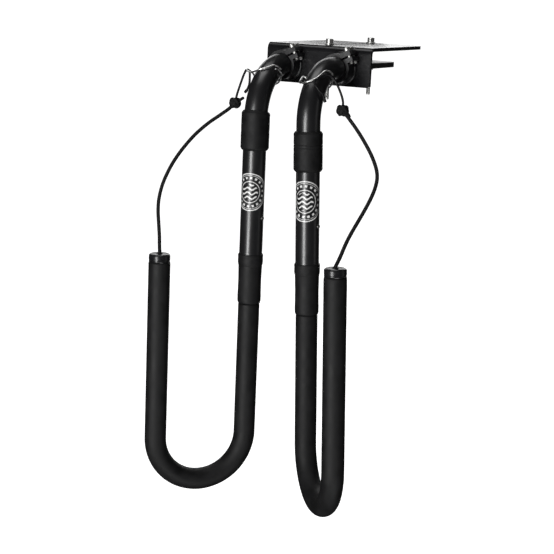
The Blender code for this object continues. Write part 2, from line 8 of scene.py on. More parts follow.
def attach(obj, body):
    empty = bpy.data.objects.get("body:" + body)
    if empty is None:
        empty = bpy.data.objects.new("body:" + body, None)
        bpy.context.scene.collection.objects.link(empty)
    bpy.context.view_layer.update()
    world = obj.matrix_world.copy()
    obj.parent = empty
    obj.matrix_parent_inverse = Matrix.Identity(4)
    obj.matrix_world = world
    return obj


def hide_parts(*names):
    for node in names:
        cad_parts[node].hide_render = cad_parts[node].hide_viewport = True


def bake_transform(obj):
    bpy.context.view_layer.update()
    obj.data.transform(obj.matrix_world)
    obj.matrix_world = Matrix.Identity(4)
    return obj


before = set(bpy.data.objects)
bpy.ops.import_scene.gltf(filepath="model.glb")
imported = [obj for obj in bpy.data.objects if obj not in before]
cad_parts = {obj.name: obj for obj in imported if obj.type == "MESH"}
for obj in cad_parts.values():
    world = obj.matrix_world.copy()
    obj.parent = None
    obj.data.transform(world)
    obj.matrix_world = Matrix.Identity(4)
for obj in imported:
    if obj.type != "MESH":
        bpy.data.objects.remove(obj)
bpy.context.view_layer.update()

# ---------------------------------------------------------------- sizes, as in the CAD source

GAP = 0.0003
FLANGE_FRONT_Y = -0.018
STUB_Z = -0.0246
SOCKET_RADIUS = 0.0205
EAR_TILT = radians(25)
PINCH_OUT = 0.0242
PINCH_FROM_FLANGE = (0.0045, 0.0172)
EAR_TOP = 0.0155
PINCH_RADIUS = 0.0025
PINCH_HEAD_RADIUS = 0.0044
PINCH_HEAD_HEIGHT = 0.005
PINCH_LENGTH = 0.0181
PLATE_THICKNESS = 0.005
SLOT_START_Y = 0.010
SLOT_END_Y = 0.156
BOLT_RADIUS = 0.003
BOLT_END_Z = -0.071
BOLT_HEAD_RADIUS = 0.0052
BOLT_HEAD_HEIGHT = 0.0064
WASHER_RADIUS = 0.0068
WASHER_THICKNESS = 0.0014
TUBE_RADIUS = 0.016
TUBE_WALL = 0.0032
ELBOW_RADIUS = 0.071
TUBE_END = 0.268
BUTTON_DEPTH = 0.205
BUTTON_RADIUS = 0.003
BUTTON_TRAVEL = 0.0022
BUTTON_DOME = 0.0035
COLLAR_TOP = 0.256
COLLAR_END = 0.325
HOOK_TUBE_RADIUS = 0.0125
FOAM_RADIUS = 0.0149
HOOK_BEND_RADIUS = 0.0654
HOOK_SPLAY = radians(41.5)
CAP_RADIUS = 0.0146
CAP_HEIGHT = 0.0108
CORD_RADIUS = 0.0025
CORD_HOLE = 0.0029
KNOT_REACH = 0.0064               # from a knot's middle to its strands
KNOT_STRAND = 0.0022
KNOT_CORE = 0.0068
PAD_RADIUS = 0.0193
PAD_END_RADIUS = 0.0170
PAD_SHOULDER = 0.0034
CLIP_WIRE = 0.0012
HOOK_WIRE = 0.0016                # the CAD's wire with its dip coating

# Printed badge on each tube: plain rings, a band of bars, and waves
BADGE_TURN = radians(169)         # direction around the tube, from its back towards +X
BADGE_RING = 0.0262

LEFT = {
    "side": -1,
    "name": "left",
    "x": -0.0498,
    "stub": 0.019,
    "swing": radians(-0.3),
    "pad": (0.060, 0.1127),
    "bend_depth": 0.5114,
    "tip": 0.2594,
    "creases": (),
    "badge": (0.1685, 0.0255),
    "clip": [
        (40, 0.0183, 35.0), (20, 0.0182, 32.0), (-8, 0.0180, 31.0), (-50, 0.0180, 32.0),
        (-95, 0.0180, 34.0), (-140, 0.0180, 36.5), (-172, 0.0180, 38.0), (-193, 0.0198, 38.5),
        (-204, 0.0242, 38.8), (-208, 0.0278, 39.6), (-209, 0.0278, 41.4), (-212, 0.0240, 42.0),
        (-220, 0.0200, 42.2), (-236, 0.0181, 42.4), (-262, 0.0180, 41.6), (-282, 0.0180, 39.5),
        (-297, 0.0186, 36.5), (-307, 0.0206, 34.0), (-318, 0.0210, 32.6), (-331, 0.0208, 31.2),
        (-342, 0.0206, 30.4),
    ],
    "knot": (-0.100, -0.075, -0.0793),
    "hook_route": [
        (-0.0969, -0.0765, -0.0677),
        (-0.0925, -0.0785, -0.0570),
        (-0.0865, -0.0808, -0.0430),
        (-0.0828, -0.0822, -0.0360),
        (-0.0798, -0.0834, -0.0322),
        (-0.0762, -0.0846, -0.0320),
        (-0.0738, -0.0852, -0.0350),
        (-0.0733, -0.0852, -0.0430),
        (-0.0740, -0.0846, -0.0515),
        (-0.0778, -0.0831, -0.0590),
        (-0.0815, -0.0816, -0.0628),
    ],
    "cord_route": [
        (-0.1383, -0.2020, -0.2665),
        (-0.1426, -0.1960, -0.2540),
        (-0.1483, -0.1895, -0.2385),
        (-0.1537, -0.1830, -0.2225),
        (-0.1571, -0.1760, -0.2078),
        (-0.1575, -0.1680, -0.1910),
        (-0.1558, -0.1580, -0.1745),
        (-0.1520, -0.1470, -0.1580),
        (-0.1458, -0.1340, -0.1410),
        (-0.1368, -0.1190, -0.1232),
        (-0.1258, -0.1038, -0.1080),
        (-0.1160, -0.0912, -0.0975),
        (-0.1071, -0.0815, -0.0884),
    ],
    "tail": [(-0.0950, -0.0745, -0.0768), (-0.0905, -0.0750, -0.0733), (-0.0870, -0.0758, -0.0713)],
}
RIGHT = {
    "side": 1,
    "name": "right",
    "x": 0.033,
    "stub": 0.032,
    "swing": radians(2.57),
    "pad": (0.079, 0.1324),
    "bend_depth": 0.5056,
    "tip": 0.2662,
    "creases": (0.0175, 0.0215),
    "badge": (0.1705, 0.0270),
    "clip": [
        (44, 0.0190, 38.0), (20, 0.0182, 34.0), (-8, 0.0180, 32.0), (-50, 0.0180, 32.0),
        (-95, 0.0180, 32.0), (-140, 0.0180, 31.5), (-166, 0.0186, 30.6), (-176, 0.0225, 29.6),
        (-180, 0.0256, 30.6), (-180, 0.0262, 35.0), (-181, 0.0258, 39.6), (-185, 0.0232, 42.6),
        (-196, 0.0196, 44.6), (-212, 0.0181, 47.5), (-232, 0.0180, 50.4), (-255, 0.0180, 50.6),
        (-276, 0.0180, 49.0), (-292, 0.0180, 46.0), (-303, 0.0190, 41.5), (-311, 0.0220, 37.0),
        (-321, 0.0226, 34.5), (-335, 0.0212, 32.0), (-346, 0.0204, 31.0),
    ],
    "knot": (0.074, -0.098, -0.0748),
    "hook_route": [
        (0.0748, -0.1001, -0.0630),
        (0.0722, -0.1005, -0.0545),
        (0.0672, -0.1012, -0.0440),
        (0.0622, -0.1025, -0.0355),
        (0.0578, -0.1048, -0.0307),
        (0.0528, -0.1088, -0.0292),
        (0.0472, -0.1146, -0.0316),
        (0.0424, -0.1198, -0.0368),
        (0.0440, -0.1225, -0.0420),
        (0.0492, -0.1222, -0.0484),
        (0.0542, -0.1188, -0.0549),
        (0.0562, -0.1155, -0.0640),
    ],
    "cord_route": [
        (0.1314, -0.2090, -0.2475),
        (0.1325, -0.1970, -0.2330),
        (0.1342, -0.1855, -0.2205),
        (0.1368, -0.1730, -0.2075),
        (0.1398, -0.1592, -0.1930),
        (0.1425, -0.1460, -0.1775),
        (0.1430, -0.1355, -0.1645),
        (0.1412, -0.1277, -0.1535),
        (0.1362, -0.1215, -0.1425),
        (0.1262, -0.1150, -0.1280),
        (0.1130, -0.1085, -0.1130),
        (0.0985, -0.1030, -0.0980),
        (0.0836, -0.0997, -0.0834),
    ],
    "tail": [(0.0790, -0.0975, -0.0778), (0.0822, -0.0975, -0.0793), (0.0845, -0.0980, -0.0828)],
}


# ---------------------------------------------------------------- node helpers

class Paint:
    """A material with short calls for the few node kinds used here."""

    def __init__(self, name):
        self.material = bpy.data.materials.new(name)
        self.material.use_nodes = True
        self.nodes = self.material.node_tree.nodes
        self.links = self.material.node_tree.links
        self.shader = self.nodes["Principled BSDF"]
        self.place = self.nodes.new("ShaderNodeTexCoord").outputs["Object"]

    def put(self, socket, value):
        """Set a socket to a number, a colour or another node's output."""
        if isinstance(value, bpy.types.NodeSocket):
            self.links.new(value, socket)
        elif isinstance(value, tuple) and len(value) == 3 and socket.type == "RGBA":
            socket.default_value = (*value, 1.0)
        else:
            socket.default_value = value

    def set(self, **values):
        for name, value in values.items():
            self.put(self.shader.inputs[name.replace("_", " ")], value)

    def math(self, operation, a, b=0.0, c=0.0):
        node = self.nodes.new("ShaderNodeMath")
        node.operation = operation
        for socket, value in zip(node.inputs, (a, b, c)):
            self.put(socket, value)
        return node.outputs[0]

    def ramp(self, value, low, high, to_low=0.0, to_high=1.0):
        """Map low..high smoothly onto to_low..to_high."""
        node = self.nodes.new("ShaderNodeMapRange")
        node.interpolation_type = "SMOOTHSTEP"
        for socket, setting in zip(node.inputs, (value, low, high, to_low, to_high)):
            self.put(socket, setting)
        return node.outputs[0]

    def mix(self, share, a, b):
        node = self.nodes.new("ShaderNodeMix")
        node.data_type = "RGBA"
        colours = [socket for socket in node.inputs if socket.type == "RGBA"]
        self.put(node.inputs[0], share)
        self.put(colours[0], a)
        self.put(colours[1], b)
        return next(out for out in node.outputs if out.type == "RGBA")

    def noise(self, scale, detail=2.0, rough=0.5, place=None, stretch=None):
        node = self.nodes.new("ShaderNodeTexNoise")
        node.inputs["Scale"].default_value = scale
        node.inputs["Detail"].default_value = detail
        node.inputs["Roughness"].default_value = rough
        self.put(node.inputs["Vector"], self.stretched(place or self.place, stretch))
        return node.outputs["Fac"]

    def cells(self, scale):
        node = self.nodes.new("ShaderNodeTexVoronoi")
        node.inputs["Scale"].default_value = scale
        self.put(node.inputs["Vector"], self.place)
        return node.outputs["Distance"]

    def stretched(self, place, stretch):
        if stretch is None:
            return place
        node = self.nodes.new("ShaderNodeMapping")
        node.inputs["Scale"].default_value = stretch
        self.put(node.inputs["Vector"], place)
        return node.outputs[0]

    def along_and_around(self):
        """The swept pieces' own map, in metres: around the tube, and along it."""
        node = self.nodes.new("ShaderNodeUVMap")
        node.uv_map = "surface"
        split = self.nodes.new("ShaderNodeSeparateXYZ")
        self.links.new(node.outputs[0], split.inputs[0])
        return split.outputs[0], split.outputs[1]

    def bump(self, height, strength, distance, under=None):
        node = self.nodes.new("ShaderNodeBump")
        node.inputs["Strength"].default_value = strength
        node.inputs["Distance"].default_value = distance
        self.put(node.inputs["Height"], height)
        if under is not None:
            self.put(node.inputs["Normal"], under)
        return node.outputs[0]


# ---------------------------------------------------------------- materials

def powder_coat(name, smooth=0.29, shine=0.75):
    """Satin black powder coat: fine orange peel, faint speckle and small rubbed spots."""
    paint = Paint(name)
    peel = paint.noise(900, 2.0)
    grain = paint.noise(5200, 1.0)
    cloud = paint.noise(35, 3.0)
    rubbed = paint.ramp(paint.noise(160, 5.0, 0.7), 0.66, 0.74)
    base = paint.mix(paint.ramp(grain, 0.35, 0.7), (0.005, 0.005, 0.0055), (0.014, 0.014, 0.0155))
    paint.set(Base_Color=paint.mix(paint.math("MULTIPLY", rubbed, 0.35), base, (0.05, 0.05, 0.052)))
    rough = paint.ramp(cloud, 0.3, 0.7, smooth, smooth + 0.06)
    paint.set(Roughness=paint.math("ADD", rough, paint.math("MULTIPLY", rubbed, 0.08)))
    paint.set(Specular_IOR_Level=shine)
    under = paint.bump(peel, 0.15, 0.00010)
    paint.set(Normal=paint.bump(grain, 0.15, 0.00004, under))
    return paint


def badge(paint, centre_along, radius):
    """White print on the paint: rings, a band of short bars, and waves in the middle."""
    around, along = paint.along_and_around()
    x = paint.math("SUBTRACT", around, BADGE_TURN * TUBE_RADIUS)
    y = paint.math("SUBTRACT", along, centre_along)
    reach = paint.math("SQRT", paint.math("ADD", paint.math("MULTIPLY", x, x),
                                          paint.math("MULTIPLY", y, y)))
    scale = radius / BADGE_RING
    soft = 0.00018

    def ring(middle, half):
        off = paint.math("ABSOLUTE", paint.math("SUBTRACT", reach, middle * scale))
        return paint.ramp(off, half, half + soft, 1.0, 0.0)

    turn = paint.math("ARCTAN2", y, x)
    bars = paint.math("SINE", paint.math("MULTIPLY", turn, 18.0))
    band = paint.math("MULTIPLY", paint.ramp(bars, 0.05, 0.25), ring(0.0200, 0.0014))
    swell = paint.math("SINE", paint.math("MULTIPLY", x, 2 * pi / 0.0125))
    wave = paint.math("ADD", y, paint.math("MULTIPLY", swell, 0.0016))
    stripe = paint.math("SINE", paint.math("MULTIPLY", wave, 2 * pi / 0.0062))
    inside = paint.ramp(reach, 0.0118 * scale, 0.0120 * scale, 1.0, 0.0)
    waves = paint.math("MULTIPLY", paint.ramp(stripe, 0.35, 0.50), inside)
    ink = ring(0.0258, 0.0006)
    for extra in (ring(0.0234, 0.0002), ring(0.0148, 0.0004), band, waves):
        ink = paint.math("MAXIMUM", ink, extra)
    worn = paint.ramp(paint.noise(700, 4.0, 0.65), 0.30, 0.40)
    ink = paint.math("MULTIPLY", ink, worn)
    colour = paint.shader.inputs["Base Color"].links[0].from_socket
    paint.set(Base_Color=paint.mix(ink, colour, (0.80, 0.80, 0.79)))
    return paint


def bright_steel(name, dark=1.0):
    """Zinc-plated steel: soft cloudy plating with fine machining lines."""
    paint = Paint(name)
    cloud = paint.noise(300, 4.0, 0.6)
    lines = paint.noise(60, 2.0, place=paint.place, stretch=(10.0, 10.0, 160.0))
    low = (0.52 * dark, 0.52 * dark, 0.50 * dark)
    high = (0.80 * dark, 0.80 * dark, 0.78 * dark)
    paint.set(Base_Color=paint.mix(paint.ramp(cloud, 0.3, 0.7), low, high))
    paint.set(Metallic=1.0)
    paint.set(Roughness=paint.ramp(cloud, 0.3, 0.7, 0.34, 0.48))
    paint.set(Normal=paint.bump(lines, 0.12, 0.00005))
    return paint


def drawn_wire(name):
    """Bright zinc-plated spring wire: smooth, with slow changes of shine."""
    paint = Paint(name)
    cloud = paint.noise(180, 2.0)
    paint.set(Base_Color=paint.mix(cloud, (0.66, 0.66, 0.65), (0.84, 0.84, 0.83)))
    paint.set(Metallic=1.0)
    paint.set(Roughness=paint.ramp(cloud, 0.3, 0.7, 0.26, 0.36))
    paint.set(Normal=paint.bump(cloud, 0.05, 0.0001))
    return paint


def foam(name, low, high, pore=2600):
    """Foam rubber skin: fine open pores, slow mottling, a little dust."""
    paint = Paint(name)
    pores = paint.cells(pore)
    fine = paint.noise(3800, 2.0)
    mottle = paint.noise(70, 4.0, 0.6)
    dust = paint.ramp(paint.noise(1500, 2.0), 0.68, 0.78)
    base = paint.mix(paint.ramp(mottle, 0.3, 0.7), (low, low, low * 1.06), (high, high, high * 1.06))
    base = paint.mix(paint.math("MULTIPLY", dust, 0.2), base, (0.05, 0.05, 0.05))
    paint.set(Base_Color=base)
    paint.set(Roughness=paint.ramp(mottle, 0.3, 0.7, 0.52, 0.66))
    paint.set(Specular_IOR_Level=0.25)
    under = paint.bump(pores, 0.35, 0.00016)
    paint.set(Normal=paint.bump(fine, 0.3, 0.00008, under))
    return paint


def gloss_plastic(name):
    """Moulded black plastic: smooth, with faint flow marks and hairline scratches."""
    paint = Paint(name)
    flow = paint.noise(220, 2.0, stretch=(1.0, 1.0, 6.0))
    hair = paint.noise(90, 3.0, stretch=(60.0, 60.0, 3.0))
    paint.set(Base_Color=paint.mix(paint.ramp(flow, 0.3, 0.7), (0.006, 0.006, 0.007),
                                   (0.012, 0.012, 0.013)))
    paint.set(Roughness=paint.ramp(hair, 0.35, 0.75, 0.26, 0.32))
    paint.set(Normal=paint.bump(flow, 0.08, 0.0002))
    return paint


def coated_wire(name):
    """Plastic dip coating on wire: soft gloss, slightly uneven."""
    paint = Paint(name)
    lumps = paint.noise(300, 2.0)
    paint.set(Base_Color=paint.mix(lumps, (0.003, 0.003, 0.0035), (0.007, 0.007, 0.008)))
    paint.set(Roughness=paint.ramp(lumps, 0.3, 0.7, 0.38, 0.50))
    paint.set(Specular_IOR_Level=0.22)
    paint.set(Normal=paint.bump(lumps, 0.12, 0.0002))
    return paint


def braid(name):
    """Woven cord sleeve: two sets of yarns crossing at an angle, with flecks, and painted shade
    darkening the gaps between the yarns.
    """
    paint = Paint(name)
    around, along = paint.along_and_around()
    strands = 8.0 / (2 * pi * CORD_RADIUS)
    pitch = 1.0 / 0.0026
    across = paint.math("MULTIPLY", around, strands)
    down = paint.math("MULTIPLY", along, pitch)
    one = paint.math("SINE", paint.math("MULTIPLY", paint.math("ADD", across, down), pi))
    two = paint.math("SINE", paint.math("MULTIPLY", paint.math("SUBTRACT", across, down), pi))
    weave = paint.math("MULTIPLY", one, two)
    # Yarn height: it drives the bump, and it is also the mask for the painted shade in the gaps between
    # the yarns
    yarn_relief_and_gap_shade = paint.math("ABSOLUTE", weave)
    fleck = paint.ramp(paint.math("MULTIPLY", one, paint.noise(900, 1.0)), 0.40, 0.52)
    fibre = paint.noise(6000, 2.0)
    # Base colour with painted shade: darker along the gaps between the yarns, lighter on the yarn tops
    base = paint.mix(paint.ramp(yarn_relief_and_gap_shade, 0.0, 0.6), (0.0015, 0.0015, 0.0018), (0.009, 0.009, 0.0095))
    base = paint.mix(paint.math("MULTIPLY", fleck, 0.35), base, (0.055, 0.055, 0.055))
    paint.set(Base_Color=base)
    paint.set(Roughness=paint.ramp(fibre, 0.3, 0.7, 0.6, 0.8))
    paint.set(Specular_IOR_Level=0.25)
    under = paint.bump(yarn_relief_and_gap_shade, 0.8, 0.0004)
    paint.set(Normal=paint.bump(fibre, 0.3, 0.00006, under))
    return paint


def floor_paint(name):
    """Pale studio floor with a whisper of texture."""
    paint = Paint(name)
    cloud = paint.noise(1.5, 3.0)
    paint.set(Base_Color=paint.mix(cloud, (0.86, 0.86, 0.86), (0.90, 0.90, 0.90)))
    paint.set(Roughness=0.8)
    paint.set(Emission_Color=(1.0, 1.0, 1.0))
    paint.set(Emission_Strength=FLOOR_GLOW)
    return paint


# ---------------------------------------------------------------- shape helpers

def new_piece(name, mesh, body, paint, stands_for=()):
    """A finished piece: in the scene, painted, riding on its body."""
    piece = bpy.data.objects.new(name, mesh)
    bpy.context.scene.collection.objects.link(piece)
    mesh.materials.clear()
    mesh.materials.append(paint.material)
    if body is not None:
        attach(piece, body)
    if stands_for:
        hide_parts(*stands_for)
    return piece


def arc(centre, radius, start, end, count):
    step = (end - start) / count
    angles = [start + step * k for k in range(count + 1)]
    return [(centre[0] + radius * cos(a), centre[1] + radius * sin(a)) for a in angles]


def smooth_route(points, per_span):
    """Points of a Catmull-Rom curve through the given points."""
    given = [Vector(p) for p in points]
    last = len(given) - 1
    route = []
    for k in range(last):
        a, b, c, d = [given[min(max(k + j, 0), last)] for j in (-1, 0, 1, 2)]
        for step in range(per_span):
            t = step / per_span
            route.append(0.5 * (2 * b + (c - a) * t + (2 * a - 5 * b + 4 * c - d) * t ** 2
                                + (3 * b - a - 3 * c + d) * t ** 3))
    route.append(given[-1])
    return route


def sweep(name, line, radius, sides, start=None, bore=None):
    """A tube along a line. radius may be a number or a function of the distance along.

    bore is the radius of a hollow tube's inside; without it the ends are closed. The map
    "surface" holds metres around and metres along; around starts at the start direction.
    """
    count = len(line)
    size = radius if callable(radius) else (lambda s: radius)
    tangents = []
    for k in range(count):
        tangents.append((line[min(k + 1, count - 1)] - line[max(k - 1, 0)]).normalized())
    side = Vector(start) if start is not None else tangents[0].orthogonal()
    side = (side - side.dot(tangents[0]) * tangents[0]).normalized()
    frames = [side]
    for k in range(1, count):
        turn = tangents[k - 1].rotation_difference(tangents[k])
        side = turn @ side
        frames.append((side - side.dot(tangents[k]) * tangents[k]).normalized())
    shape = bmesh.new()
    travelled = [0.0]
    for a, b in zip(line, line[1:]):
        travelled.append(travelled[-1] + (b - a).length)

    def ring(k, around_radius):
        one = frames[k]
        other = tangents[k].cross(one)
        return [shape.verts.new(line[k] + around_radius * (cos(2 * pi * j / sides) * one
                                                           + sin(2 * pi * j / sides) * other))
                for j in range(sides)]

    outer = [ring(k, size(travelled[k])) for k in range(count)]
    layer = shape.loops.layers.uv.new("surface")

    def skin(rings, flip):
        for k in range(count - 1):
            a, b = rings[k], rings[k + 1]
            ends = (travelled[k], travelled[k + 1])
            reach = size(travelled[k])
            for j in range(sides):
                quad = [(a[j], j, 0), (a[(j + 1) % sides], j + 1, 0),
                        (b[(j + 1) % sides], j + 1, 1), (b[j], j, 1)]
                if flip:
                    quad.reverse()
                face = shape.faces.new([corner[0] for corner in quad])
                face.smooth = True
                for loop, corner in zip(face.loops, quad):
                    loop[layer].uv = (2 * pi * reach * corner[1] / sides, ends[corner[2]])

    skin(outer, False)
    if bore is not None:
        inner = [ring(k, bore) for k in range(count)]
        skin(inner, True)
        for k, turned_round in ((0, False), (count - 1, True)):
            for j in range(sides):
                quad = [outer[k][j], inner[k][j], inner[k][(j + 1) % sides],
                        outer[k][(j + 1) % sides]]
                shape.faces.new(quad[::-1] if turned_round else quad)
    else:
        shape.faces.new(outer[0][::-1])
        shape.faces.new(outer[-1])
    bmesh.ops.recalc_face_normals(shape, faces=shape.faces)
    mesh = bpy.data.meshes.new(name)
    shape.to_mesh(mesh)
    shape.free()
    return mesh


def turned(name, profile, sides, place):
    """A closed profile of (radius, height) points turned about its own Z axis."""
    shape = bmesh.new()
    rings = []
    for r, z in profile:
        if r < 1e-6:
            rings.append([shape.verts.new((0.0, 0.0, z))])
        else:
            rings.append([shape.verts.new((r * cos(2 * pi * j / sides), r * sin(2 * pi * j / sides), z))
                          for j in range(sides)])
    closed = profile[0][0] > 1e-6
    pairs = list(zip(rings, rings[1:])) + ([(rings[-1], rings[0])] if closed else [])
    for a, b in pairs:
        for j in range(sides):
            n = (j + 1) % sides
            corners = []
            for vert in (a[j % len(a)], b[j % len(b)], b[n % len(b)], a[n % len(a)]):
                if vert not in corners:
                    corners.append(vert)
            if len(corners) > 2:
                shape.faces.new(corners)
    bmesh.ops.recalc_face_normals(shape, faces=shape.faces)
    mesh = bpy.data.meshes.new(name)
    shape.to_mesh(mesh)
    shape.free()
    mesh.transform(place)
    mesh.shade_smooth()
    mesh.set_sharp_from_angle(angle=radians(32))
    return mesh


def with_soft_edges(name, node, body, paint, width, segments=2):
    """The CAD node's own shape with its sharp edges broken, as a piece of its own."""
    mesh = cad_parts[node].data.copy()
    shape = bmesh.new()
    shape.from_mesh(mesh)
    bmesh.ops.remove_doubles(shape, verts=shape.verts, dist=1e-6)
    bmesh.ops.dissolve_limit(shape, angle_limit=radians(1), verts=shape.verts, edges=shape.edges)
    shape.to_mesh(mesh)
    shape.free()
    piece = new_piece(name, mesh, body, paint, [node])
    soften = piece.modifiers.new("soft_edges", "BEVEL")
    soften.width = width
    soften.segments = segments
    soften.limit_method = "ANGLE"
    soften.angle_limit = radians(40)
    soften.harden_normals = False
    mesh.shade_smooth()
    mesh.set_sharp_from_angle(angle=radians(40))
    return piece


# ---------------------------------------------------------------- the arms' own frames

def swing_frame(arm):
    lift = Matrix.Translation((arm["x"], FLANGE_FRONT_Y, STUB_Z))
    return lift @ Matrix.Rotation(-arm["side"] * arm["swing"], 4, "Y")


def swivel_frame(arm):
    down = Matrix.Translation((0.0, -arm["stub"] - ELBOW_RADIUS, 0.0))
    return swing_frame(arm) @ down @ Matrix.Rotation(-pi / 2 + arm["side"] * HOOK_SPLAY, 4, "Z")


def bend_point(stub, angle):
    return Vector((0.0, -stub - ELBOW_RADIUS * sin(angle), ELBOW_RADIUS * (cos(angle) - 1.0)))


def arm_line(arm, from_angle, depth, count, straight):
    """Centre line in the world from an angle on the elbow to a depth below the stub."""
    stub = arm["stub"]
    step = (pi / 2 - from_angle) / count
    line = [bend_point(stub, from_angle + step * k) for k in range(count + 1)]
    y = -stub - ELBOW_RADIUS
    line += [Vector((0.0, y, -ELBOW_RADIUS - (depth - ELBOW_RADIUS) * k / straight))
             for k in range(1, straight + 1)]
    return [swing_frame(arm) @ p for p in line]


def straight_line(arm, top, bottom, count):
    y = -arm["stub"] - ELBOW_RADIUS
    return [swing_frame(arm) @ Vector((0.0, y, -top - (bottom - top) * k / count))
            for k in range(count + 1)]


def hook_line(arm, top, tip, count):
    """Centre line of a J hook in the world: down, around the U, and up to its tip."""
    r = HOOK_BEND_RADIUS
    low = -arm["bend_depth"]
    down = [(0.0, -top + (low + top) * k / 30) for k in range(30)]
    bend = arc((r, low), r, pi, 2 * pi, count)
    up = [(2 * r, low + tip * k / 30) for k in range(1, 31)]
    return [swivel_frame(arm) @ Vector((x, 0.0, z)) for x, z in down + bend + up]


def cord_line(arm):
    """The cord's line: out of the cap, then its free bow, and on into the knot."""
    top = Vector((2 * HOOK_BEND_RADIUS, 0.0, arm["tip"] - arm["bend_depth"]))
    inner, outer = [swivel_frame(arm) @ (top + Vector((0.0, 0.0, z))) for z in (-0.0066, 0.0018)]
    buried = Vector(arm["knot"]).lerp(Vector(arm["cord_route"][-1]), 0.45)
    return [inner] + smooth_route([outer] + arm["cord_route"] + [buried], 8), outer


# ---------------------------------------------------------------- camera

def build_camera():
    """A long lens a little to the right and above, as a catalogue picture is taken."""
    place = Vector((0.8237, -1.7693, 0.0801))
    target = Vector((-0.05115, -0.018, -0.32931))
    roll = radians(2.65)
    forward = (target - place).normalized()
    right = forward.cross(Vector((0, 0, 1))).normalized()
    up = right.cross(forward)
    across = right * cos(roll) + up * sin(roll)
    upward = up * cos(roll) - right * sin(roll)
    data = bpy.data.cameras.new("camera")
    data.lens = 89.9
    data.sensor_width = 36.0
    data.clip_end = 100.0
    camera = bpy.data.objects.new("camera", data)
    axes = Matrix((across, upward, -forward)).transposed().to_4x4()
    camera.matrix_world = Matrix.Translation(place) @ axes
    bpy.context.scene.collection.objects.link(camera)
    bpy.context.scene.camera = camera


# ---------------------------------------------------------------- pieces of one arm

def build_cord(arm, paint):
    name = arm["name"]
    line, outer = cord_line(arm)
    mesh = sweep("bungee_" + name, line, CORD_RADIUS, 20)
    piece = new_piece("bungee_" + name, mesh, None, paint, ["cord_" + name])
    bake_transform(piece)


def build_knot(arm, paint):
    """A round knot of the same cord, woven in three turns around a core, with a short tail."""
    name = arm["name"]
    middle = Vector(arm["knot"])
    count = 200
    line = []
    for k in range(count + 1):
        t = 2 * pi * k / count
        reach = KNOT_REACH + 0.0006 * sin(8 * t)
        rise = radians(54) * cos(4 * t)
        line.append(middle + reach * Vector((cos(rise) * cos(3 * t), cos(rise) * sin(3 * t),
                                             sin(rise))))
    mesh = sweep("tied_knot_" + name, line, KNOT_STRAND, 18)
    new_piece("tied_knot_" + name, mesh, "arm_" + name, paint, ["knot_" + name])
    core = [middle + Vector((0.0, 0.0, KNOT_CORE * (k / 12 - 1.0))) for k in range(25)]

    def swell(s):
        return 0.0004 + sqrt(max(0.0, KNOT_CORE ** 2 - (s - KNOT_CORE) ** 2))

    mesh = sweep("knot_core_" + name, core, swell, 24)
    new_piece("knot_core_" + name, mesh, "arm_" + name, paint)
    mesh = sweep("knot_tail_" + name, smooth_route(arm["tail"], 6), 0.0021, 18)
    new_piece("knot_tail_" + name, mesh, "arm_" + name, paint)


def build_cord_hook(arm, paint):
    name = arm["name"]
    buried = Vector(arm["knot"]).lerp(Vector(arm["hook_route"][0]), 0.4)
    line = smooth_route([buried] + arm["hook_route"], 8)
    total = sum((b - a).length for a, b in zip(line, line[1:]))
    tip = total - 0.006

    def thickness(s):
        return HOOK_WIRE + 0.0005 * min(max((s - tip) / 0.002, 0.0), 1.0)

    mesh = sweep("wire_hook_" + name, line, thickness, 20)
    new_piece("wire_hook_" + name, mesh, "arm_" + name, paint,
              ["cord_hook_" + name])


def clip_route(arm):
    """Spring wire around the elbow, as in the CAD source."""
    points = []
    for around, distance, along in arm["clip"]:
        turn = radians(around)
        bend = radians(along)
        out = Vector((0.0, -sin(bend), cos(bend)))
        points.append(bend_point(arm["stub"], bend)
                      + distance * (cos(turn) * Vector((1, 0, 0)) + sin(turn) * out))
    return [swing_frame(arm) @ p for p in smooth_route(points, 12)]


def build_clip(arm, paint):
    name = arm["name"]
    line = clip_route(arm)
    total = sum((b - a).length for a, b in zip(line, line[1:]))

    def thickness(s):
        """Slightly rounded ends."""
        return CLIP_WIRE * sqrt(1.0 - (1.0 - min(s, total - s, CLIP_WIRE) / CLIP_WIRE) ** 2 * 0.6)

    mesh = sweep("spring_clip_" + name, line, thickness, 18)
    new_piece("spring_clip_" + name, mesh, "arm_" + name, paint, ["clip_" + name])


def build_arm_tube(arm, paint):
    name = arm["name"]
    first = swing_frame(arm) @ Vector((0.0, -GAP, 0.0))
    line = [first] + arm_line(arm, 0.0, TUBE_END, 48, 30)
    under = swing_frame(arm).to_3x3() @ Vector((0, 0, -1))
    mesh = sweep("bent_tube_" + name, line, TUBE_RADIUS, 72, start=under,
                 bore=TUBE_RADIUS - TUBE_WALL)
    new_piece("bent_tube_" + name, mesh, "arm_" + name, paint,
              ["arm_tube_" + name])


def build_pad(arm, paint):
    """Foam sleeve with sloping shoulders, a little lumpy, creased where it is compressed."""
    name = arm["name"]
    top, bottom = arm["pad"]
    if top < ELBOW_RADIUS:
        line = arm_line(arm, acos(1.0 - top / ELBOW_RADIUS), bottom, 30, 40)
    else:
        line = straight_line(arm, top, bottom, 70)
    total = sum((b - a).length for a, b in zip(line, line[1:]))
    line = evenly(line, 150)

    def profile(s):
        shoulder = min(min(s, total - s) / PAD_SHOULDER, 1.0)
        rise = 0.65 * shoulder + 0.35 * sqrt(1.0 - (1.0 - shoulder) ** 2)
        wrinkle = 0.00010 * sin(s * 520) * sin(s * 130 + 1.0) * shoulder
        for crease in arm["creases"]:
            wrinkle -= 0.0005 * max(0.0, 1.0 - abs(s - crease) / 0.0008)
        return PAD_END_RADIUS + (PAD_RADIUS + 0.0001 - PAD_END_RADIUS) * rise + wrinkle

    mesh = sweep("foam_sleeve_" + name, line, profile, 64, bore=TUBE_RADIUS + GAP / 2)
    piece = new_piece("foam_sleeve_" + name, mesh, "arm_" + name, paint,
                      ["pad_" + name])


